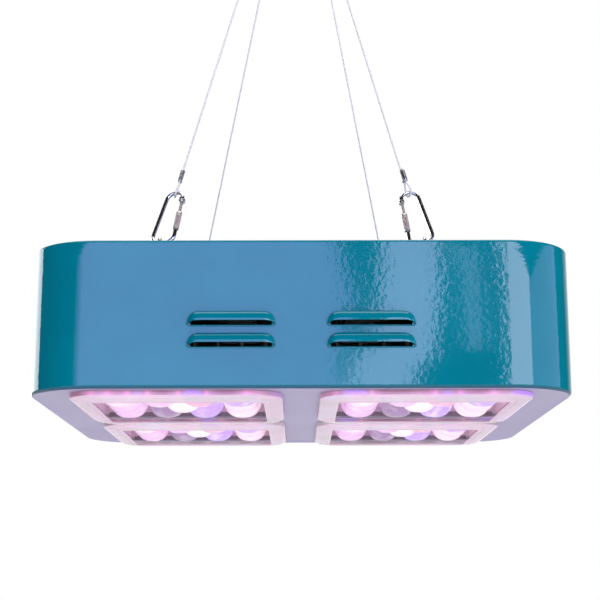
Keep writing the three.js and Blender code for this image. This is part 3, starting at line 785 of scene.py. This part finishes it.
def make_rivet(name, f):
    """The gate's pin, with a flat head at each end."""
    half = [(0, -2.3), (0.6, -2.3), (0.9, -2.05), (0.9, -1.85), (0.45, -1.8)]
    pin = lathe("rivet", half + [(radius, -z) for radius, z in reversed(half)], 20)
    parts = [(pin, frame_matrix(f, HOOK["arc"], HINGE["height"]) @ ACROSS)]
    add_hardware("rivet", name, parts, "carabiner_rivet")


def make_nut(name, f):
    """The knurled screw nut: a band of fine flutes between two plain collars."""
    outer, bore, length = NUT["radius"], NUT["bore"], NUT["length"]
    sides, knurl_low, knurl_high = 96, 1.9, 10.4
    profile = [(bore, 0.0), (outer - 0.25, 0.0), (outer, 0.25), (outer, 1.5), (outer - 0.28, 1.75)]
    profile += [(outer - 0.02, 1.95 + 0.9 * i) for i in range(10)]
    profile += [(outer - 0.28, 10.6), (outer, 10.85), (outer, 12.5), (outer - 0.25, length), (bore, length)]
    verts = []
    for radius, z in profile:
        depth = NUT["flute_depth"] if knurl_low < z < knurl_high else 0
        for i in range(sides):
            a = 2 * math.pi * i / sides
            r = radius - depth * (0.5 + 0.5 * math.cos(NUT["flutes"] * a))
            verts.append((r * math.cos(a), r * math.sin(a), z))
    mesh = mesh_of("nut", verts, bands(len(profile), sides, wrapped=True, flipped=True))
    fix_normals(mesh)
    parts = [(mesh, frame_matrix(f, HOOK["arc"], NUT["start"]))]
    add_hardware("nut", name, parts, "lock_nut", body=f"nut_{name}", metal=NUT_STEEL)


def make_eye(name, x, y):
    """A bent wire through the housing's top, with a washer above it and a hexagon nut below on each leg."""
    centre_z = HEIGHT + EYE_TOP - EYE_WIRE - EYE_HALF
    low = HEIGHT - 10.2
    points = [Vector((0, -EYE_HALF, low)), Vector((0, -EYE_HALF, centre_z))]
    points += [Vector((0, q, z)) for q, z in arc(0, centre_z, EYE_HALF, 180, 0, 24)]
    points.append(Vector((0, EYE_HALF, low)))
    wire = tube("eye", even_line(points, 1.0), circle(EYE_WIRE, 20))
    hexagon = lathe("hexagon", [(0, -2.4), (2.5, -2.4), (2.8, -2.2), (2.8, -0.2), (2.5, 0), (0, 0)], 6)
    nuts = [(hexagon, Matrix.Translation((0, side * EYE_HALF, HEIGHT - 1.5))) for side in (-1, 1)]
    washer = lathe("washer", [(0, 0), (2.5, 0), (2.6, 0.15), (2.4, 0.5), (0, 0.5)], 28)
    collars = [(washer, Matrix.Translation((0, side * EYE_HALF, HEIGHT))) for side in (-1, 1)]
    move = Matrix.Translation((EYE_SHIFT + x * EYE_X, y * EYE_Y, 0))
    parts = [(m, move @ t) for m, t in [(wire, Matrix()), *nuts, *collars]]
    add_hardware("eye", name, parts, "hang_eye")


for corner_name, *corner_place in CORNERS:
    corner = corner_frame(*corner_place)
    make_hook(corner_name, corner)
    make_gate(corner_name, corner)
    make_rivet(corner_name, corner)
    make_nut(corner_name, corner)
    make_eye(corner_name, *corner_place[:2])


# ---------- housing ----------
def louver_hood():
    """One pressed louvre hood on a wall whose outer face is y = 0 and whose outside is -Y.

    Its rim stands proud in the middle, and falls to the slot's lower edge at both ends.
    """
    length, out, lip, height = LOUVER["length"], LOUVER["out"], LOUVER["lip"], LOUVER["height"]
    end = 1.5 * out
    straight = length / 2 - end
    rise_steps, end_steps, flat_steps = 16, 20, 4
    skins = []
    for shrink in (0.0, LOUVER["sheet"]):
        rows = []
        for i in range(rise_steps + 1):
            phi = math.pi / 2 * i / rise_steps
            cos_phi, sin_phi = math.cos(phi) ** 0.72, math.sin(phi)
            row = []
            for j in range(end_steps, 0, -1):
                row.append((-1, math.pi / 2 * j / end_steps))
            row += [(-1 + 2 * j / flat_steps, 0.0) for j in range(flat_steps + 1)]
            row += [(1, math.pi / 2 * j / end_steps) for j in range(1, end_steps + 1)]
            points = []
            for side, t in row:
                taper = max(math.cos(t), 0.0) ** 0.62
                rim = lip * taper
                z = rim + (max(height * taper - shrink, rim) - rim) * sin_phi
                spread = (end - shrink) * (0.9 + 0.1 * cos_phi) * math.sin(t)
                x = side * straight + math.copysign(spread, side)
                points.append((x, -(out - shrink) * cos_phi * math.cos(t), z))
            rows.append(points)
        skins.append(rows)
    verts = [p for rows in skins for row in rows for p in row]
    wide = len(skins[0][0])
    tall = rise_steps + 1
    faces = []
    for r in range(tall - 1):
        for i in range(wide - 1):
            a = r * wide + i
            faces.append((a, a + 1, a + wide + 1, a + wide))
            b = a + tall * wide
            faces.append((b, b + wide, b + wide + 1, b + 1))
    for i in range(wide - 1):
        faces.append((i, tall * wide + i, tall * wide + i + 1, i + 1))
    hood = mesh_of("hood", verts, faces)
    reach = length / 2 - 1
    bowed = [(x, -0.25 * math.cos(math.pi * x / length)) for x in even_steps(-reach, reach, 24)]
    lower_edge = tube("lower_edge", [Vector((x, y, -0.1)) for x, y in bowed], circle(0.45, 12))
    mesh = joined("louver", [(hood, Matrix()), (lower_edge, Matrix())])
    bm = bmesh.new()
    bm.from_mesh(mesh)
    bmesh.ops.remove_doubles(bm, verts=bm.verts, dist=0.001)
    bm.to_mesh(mesh)
    bm.free()
    return mesh


def even_steps(start, end, count):
    return [start + (end - start) * i / count for i in range(count + 1)]


def louver_places():
    """(turn about Z, distance out to the wall, place along it, height) of every louvre."""
    walls = [(0, DEPTH / 2), (180, DEPTH / 2), (90, WIDTH / 2), (270, WIDTH / 2)]
    return [(turn, out, x, z) for turn, out in walls for x in LOUVER_X for z in LOUVER_Z]


def make_housing():
    """The folded sheet with its openings cut, and a hood over every louvre's slot."""
    outline = rounded_outline(WIDTH, DEPTH, CORNER, 28)
    low = -SKIRT
    profile = arc(EDGE, HEIGHT - EDGE, EDGE, 90, 180, 6)
    fold = 1.6 * EDGE
    profile += arc(fold, low + fold, fold, 180, 238, 6)
    profile += [(SHEET, low + 0.6), (SHEET, LEDGE["low"]), (LEDGE["reach"], LEDGE["low"])]
    profile += [(LEDGE["reach"], LEDGE["high"]), (SHEET, LEDGE["high"]), (SHEET, HEIGHT - SHEET)]
    mesh = swept_ring("housing", outline, profile, closed=False, cap_top=True, cap_bottom=True)
    cutters = []
    half = LOUVER["length"] / 2 - 2.2
    slot_cut = box_mesh(-half, half, -1, 3, 0, LOUVER["height"] - 2.6)
    for turn, out, x, z in louver_places():
        cutters.append((slot_cut, turned(turn, x, -out, z)))
    fan_cut = cylinder_mesh(FAN_BORE, HEIGHT - 5, HEIGHT + 5, 96)
    for side in (-1, 1):
        cutters.append((fan_cut, Matrix.Translation((side * FAN_X, 0, 0))))
    eye_cut = cylinder_mesh(EYE_WIRE + 0.3, HEIGHT - 5, HEIGHT + 5, 20)
    for _, x, y, *_ in CORNERS:
        for leg in (-EYE_HALF, EYE_HALF):
            cutters.append((eye_cut, Matrix.Translation((EYE_SHIFT + x * EYE_X, y * EYE_Y + leg, 0))))
    rear = DEPTH / 2
    cutters.append((box_mesh(-109.3, -80.7, rear - 5, rear + 5, 32.2, 53.8), Matrix()))
    cutters.append((box_mesh(82, 108, rear - 5, rear + 5, 34, 52), Matrix()))
    shell = cut(mesh, cutters)
    hood = louver_hood()
    hoods = [(hood, turned(turn, x, -out, z)) for turn, out, x, z in louver_places()]
    whole = joined("housing", [(shell, Matrix()), *hoods])
    obj = new_object("housing", whole, material=TEAL, angle=32)
    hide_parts("housing_shell")


make_housing()


def make_lamp_plate():
    """The white plate inside the walls, with a window behind each lens cover."""
    inset = SHEET + 0.3
    outline = rounded_outline(WIDTH - 2 * inset, DEPTH - 2 * inset, CORNER - inset, 28)
    edge = [(1.1, 0), (-0.05, -0.6), (-0.25, -0.6), (-0.25, 0.4), (0, 0.4), (0, PLATE)]
    mesh = swept_ring("plate", outline, edge, closed=False, cap_top=True, cap_bottom=True)
    window = box_mesh(-55, 55, -59, 59, -2, 4)
    middles = [(x * MODULE_X, y * MODULE_Y, 0) for x in (-1, 1) for y in (-1, 1)]
    cutters = [(window, Matrix.Translation(middle)) for middle in middles]
    obj = new_object("lamp_plate_painted", cut(mesh, cutters), material=WHITE, angle=30)
    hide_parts("lamp_plate")


make_lamp_plate()


# ---------- lens modules ----------
def lens_places():
    """The place of each lens about its module's middle, row by row from the front."""
    four = (-1.5, -0.5, 0.5, 1.5)
    rows = [(-1.5, four), (-0.5, four), (0.5, (-1.5, 0.0, 1.5)), (1.5, four)]
    places = [(column, row) for row, columns in rows for column in columns]
    return [(column * LENS["pitch_x"], row * LENS["pitch_y"] + LENS["shift_y"]) for column, row in places]


# The kind of each lens, in the order of lens_places.
LENS_ORDER = [
    "pink", "white", "violet", "pink",
    "white", "pink", "red", "violet",
    "pink", "cream", "white",
    "pink", "dark", "violet", "white",
]


def lens_mesh():
    """A moulded lens that hangs below its tray, with fine moulded steps round its tip."""
    base, tip, radius = TRAY["base"], LENS["tip"], LENS["radius"]
    shoulder = base - 0.3
    profile = [(0, base + 0.6), (radius, base + 0.6), (radius, shoulder)]
    fall = shoulder - tip
    steps = 28
    for i in range(1, steps):
        t = i / steps
        a = math.pi / 2 * t
        groove = 0.16 * math.sin(5 * math.pi * t) ** 2 * t
        height = shoulder - fall * math.sin(a) + 0.5 * groove
        profile.append(((radius - groove) * math.cos(a) ** 0.8, height))
    profile.append((0, tip))
    return lathe("lens", profile, 48)


def cover_mesh():
    """The clear cover: a low wall, a bevel, and a face with a window that lies nearer its rear."""
    drop, step, inset = COVER["drop"], COVER["step"], COVER["inset"]
    outer = rounded_outline(COVER["width"], COVER["depth"], COVER["corner"], 12)
    wall = [(0.0, -0.3), (0.0, 0.5 - step), (0.15, 0.15 - step), (0.5, -step)]
    wall += [(inset - 0.4, 0.15 - drop), (inset + 0.4, -drop)]
    wall += [(inset + 5.5, -drop), (inset + 5.8, 0.3 - drop)]
    window = rounded_outline(2 * WINDOW["half"], WINDOW["back"] - WINDOW["front"], 3, 12)
    verts = []
    for inset_now, z in wall:
        verts += [p - inset_now * n + Vector((0, 0, z)) for p, n in outer]
    for grow, z in ((1.6, 0.3 - drop), (0.9, -drop), (0.0, 0.3 - drop), (0.0, -0.05 - step)):
        verts += [p + grow * n + Vector((0, WINDOW_MIDDLE, z)) for p, n in window]
    mesh = mesh_of("cover", verts, bands(len(verts) // len(outer), len(outer)))
    fix_normals(mesh)
    return mesh


def make_cover(name, move, plastic):
    """The cover's frosted border, and the clear window in its face."""
    mesh = joined("cover", [(cover_mesh(), move)])
    cover = new_object(f"cover_{name}", mesh, material=plastic, angle=20)
    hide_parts(f"lens_cover_{name}")
    drop = COVER["drop"]
    outline = rounded_outline(2 * WINDOW["half"] + 1, WINDOW["back"] - WINDOW["front"] + 1, 3, 8)
    sides = [(0, 0.3 - drop), (0, COVER["wall"] - drop)]
    pane = swept_ring("window", outline, sides, closed=False, cap_top=True, cap_bottom=True)
    window = joined("window", [(pane, move @ Matrix.Translation((0, WINDOW_MIDDLE, 0)))])
    new_object(f"window_{name}", window, material=CLEAR, angle=35)


def make_tray(name, shift):
    """The moulded tray that the lenses hang from: a low rim round a flat lid."""
    low, high, rim = TRAY["bottom"], TRAY["top"], 4
    outline = rounded_outline(TRAY["width"], TRAY["depth"], 3, 6)
    wall = swept_ring("tray", outline, [(rim, low), (0, low), (0, high), (rim, high)])
    half_x, half_y = TRAY["width"] / 2 - 3.5, TRAY["depth"] / 2 - 3.5
    lid = box_mesh(-half_x, half_x, -half_y, half_y, TRAY["base"], high)
    mesh = joined("tray", [(wall, shift), (lid, shift)])
    tray = new_object(f"tray_{name}", mesh, material=TRAY_PAINTED_GLOW, angle=35)
    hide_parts(f"lens_array_{name}")


def make_lenses(name, shift):
    """The lenses of one module, one piece for each kind."""
    lens = lens_mesh()
    groups = {}
    for (x, y), kind in zip(lens_places(), LENS_ORDER):
        groups.setdefault(kind, []).append((lens, shift @ Matrix.Translation((x, y, 0))))
    for kind, parts in groups.items():
        mesh = joined("lenses", parts)
        glass = LENS_MATERIALS[kind]
        new_object(f"lenses_{kind}_{name}", mesh, material=glass, angle=50)


def make_shade_strip(name, shift):
    """A dark strip along the rear of the tray: painted shade, standing for the tray's rear wall in shadow."""
    outline = rounded_outline(2 * WINDOW["half"] + 1, 2.4, 1.0, 6)
    sides = [(0.3, -0.5), (0, -0.2), (0, 2.2), (0.3, 2.5)]
    strip = swept_ring("lip", outline, sides, closed=False, cap_top=True, cap_bottom=True)
    mesh = joined("lip", [(strip, shift @ Matrix.Translation((0, TRAY["depth"] / 2 - 7.5, 0)))])
    new_object(f"tray_shade_strip_{name}", mesh, material=SHADE_STRIP, angle=40)


def make_module(name, x, y):
    shift = Matrix.Translation((x * MODULE_X, y * MODULE_Y, 0))
    cover_shift = Matrix.Translation((x * (MODULE_X - COVER["shift"]), y * MODULE_Y, 0))
    make_cover(name, cover_shift, MILKY_FRONT_PAINTED_GLOW if y < 0 else MILKY_REAR_PAINTED_SHADE)
    make_tray(name, shift)
    make_lenses(name, shift)
    make_shade_strip(name, shift)


for corner_name, *corner_place in CORNERS:
    make_module(corner_name, *corner_place[:2])


# ---------- carried-over CAD nodes ----------
def dress(prefixes, mat):
    for node_name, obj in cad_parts.items():
        if node_name.startswith(tuple(prefixes)):
            obj.data.materials.clear()
            obj.data.materials.append(mat)


dress(["fan_frame", "fan_rotor", "power_inlet", "switch"], BLACK)
dress(["fan_guard"], CHROME)
dress(["heat_sink", "led_driver"], brushed("case_aluminium", (0.60, 0.61, 0.63), 0.35))
dress(["led_board"], textured(material("solder_mask", (0.85, 0.85, 0.83)), 700, (0.3, 0.42), 0.00005))


# ---------- stage ----------
def make_floor():
    reach = 14.0
    corners = [(x * reach, y * reach, 0) for x, y in ((-1, -1), (1, -1), (1, 1), (-1, 1))]
    mesh = mesh_of("floor", corners, [(0, 1, 2, 3)])
    floor = bpy.data.objects.new("floor", mesh)
    floor.location.z = place(0, 0, -1100).z
    bpy.context.scene.collection.objects.link(floor)
    glow = (0.92, 0.92, 0.92, 1)
    paint = material("floor_paint", (0.85, 0.85, 0.84), Emission_Color=glow, Emission_Strength=0.3)
    mesh.materials.append(textured(paint, 60, (0.6, 0.75), 0.0002))


def area_light(name, centre, target, width, height, color, radiance, roll=0.0):
    """A rectangular light of the given radiance that faces a point."""
    data = bpy.data.lights.new(name, "AREA")
    data.shape = "RECTANGLE"
    data.size, data.size_y = width, height
    data.color = color
    data.energy = radiance * math.pi * width * height
    light = bpy.data.objects.new(name, data)
    facing = (Vector(target) - Vector(centre)).to_track_quat("-Z", "Y").to_matrix().to_4x4()
    light.matrix_world = Matrix.Translation(centre) @ facing @ Matrix.Rotation(roll, 4, "Z")
    light.visible_camera = False
    bpy.context.scene.collection.objects.link(light)


def wall_light(name, left, right, low, high, color, radiance, roll=0.0):
    """A light in the plane behind the camera, between two places across and two heights, facing the lamp."""
    centre = place((left + right) / 2, -2500, (low + high) / 2)
    ahead = centre + Vector((0, 1, 0))
    area_light(name, centre, ahead, (right - left) / 1000, (high - low) / 1000, color, radiance, roll)


def panel_between(name, start, end, low, high, color, radiance):
    """An upright light from one place in plan to another, between two heights, facing the lamp."""
    (x0, y0), (x1, y1) = start, end
    centre = place((x0 + x1) / 2, (y0 + y1) / 2, (low + high) / 2)
    ahead = centre + Vector((-(y1 - y0), x1 - x0, 0)).normalized() * (1 if x0 * y1 > x1 * y0 else -1)
    width = math.hypot(x1 - x0, y1 - y0) / 1000
    area_light(name, centre, ahead, width, (high - low) / 1000, color, radiance)


def make_lights():
    middle = place(0, 0, 40)
    wall_light("left_box", -1450, 112, -60, 1080, (0.42, 0.40, 1.0), 4.9)
    for step, left, right in ((0, -1600, -1450), (1, -1780, -1600), (2, -2000, -1780)):
        wall_light(f"left_fade_{step}", left, right, -60, 1080, (0.42, 0.40, 1.0), 3.6 - 1.2 * step)
    wall_light("right_window", 178, 345, 40, 1160, (0.55, 0.60, 1.0), 6.4, math.radians(-6))
    wall_light("narrow_window", 430, 472, 370, 1000, (0.50, 0.56, 1.0), 3.6)
    wall_light("right_box", 556, 2460, -60, 1080, (0.74, 0.76, 1.0), 6.4)
    panel_between("right_wall", (2480, -2500), (2900, 500), 0, 1000, (0.45, 0.46, 1.0), 2.2)
    panel_between("left_rim", (-2450, 1000), (-1000, 2500), 0, 1200, (1.0, 1.0, 1.0), 3.6)
    area_light("top_box", place(0, 300, 2300), middle, 2.6, 2.6, (1.0, 1.0, 0.97), 2.4)


def make_world():
    """White to the camera, bright behind the lamp in reflections, and soft light, stronger from the right."""
    world = bpy.data.worlds.new("studio")
    bpy.context.scene.world = world
    world.use_nodes = True
    nodes, links = world.node_tree.nodes, world.node_tree.links
    shown = nodes["Background"]
    shown.inputs["Color"].default_value = (1, 1, 1, 1)
    shown.inputs["Strength"].default_value = 1.0
    coords = nodes.new("ShaderNodeTexCoord")
    split = nodes.new("ShaderNodeSeparateXYZ")
    links.new(coords.outputs["Generated"], split.inputs["Vector"])
    soft = world_part(nodes, links, split.outputs["X"], (-1, 1), (0.03, 0.86), (0.92, 0.95, 1.0))
    mirrored = world_part(nodes, links, split.outputs["Y"], (0.62, 0.9), (0.015, 1.0), (1.0, 1.0, 1.0))
    path = nodes.new("ShaderNodeLightPath")
    first = nodes.new("ShaderNodeMixShader")
    links.new(path.outputs["Is Glossy Ray"], first.inputs["Fac"])
    links.new(soft.outputs["Background"], first.inputs[1])
    links.new(mirrored.outputs["Background"], first.inputs[2])
    mix = nodes.new("ShaderNodeMixShader")
    links.new(path.outputs["Is Camera Ray"], mix.inputs["Fac"])
    links.new(first.outputs["Shader"], mix.inputs[1])
    links.new(shown.outputs["Background"], mix.inputs[2])
    links.new(mix.outputs["Shader"], nodes["World Output"].inputs["Surface"])


def world_part(nodes, links, direction, span, strengths, color):
    """A background whose strength changes along one direction."""
    spread = map_range(nodes, links, direction, *span)
    spread.inputs["To Min"].default_value, spread.inputs["To Max"].default_value = strengths
    background = nodes.new("ShaderNodeBackground")
    background.inputs["Color"].default_value = (*color, 1)
    links.new(spread.outputs["Result"], background.inputs["Strength"])
    return background


make_floor()
make_lights()
make_world()
bpy.context.scene.view_settings.view_transform = "Standard"
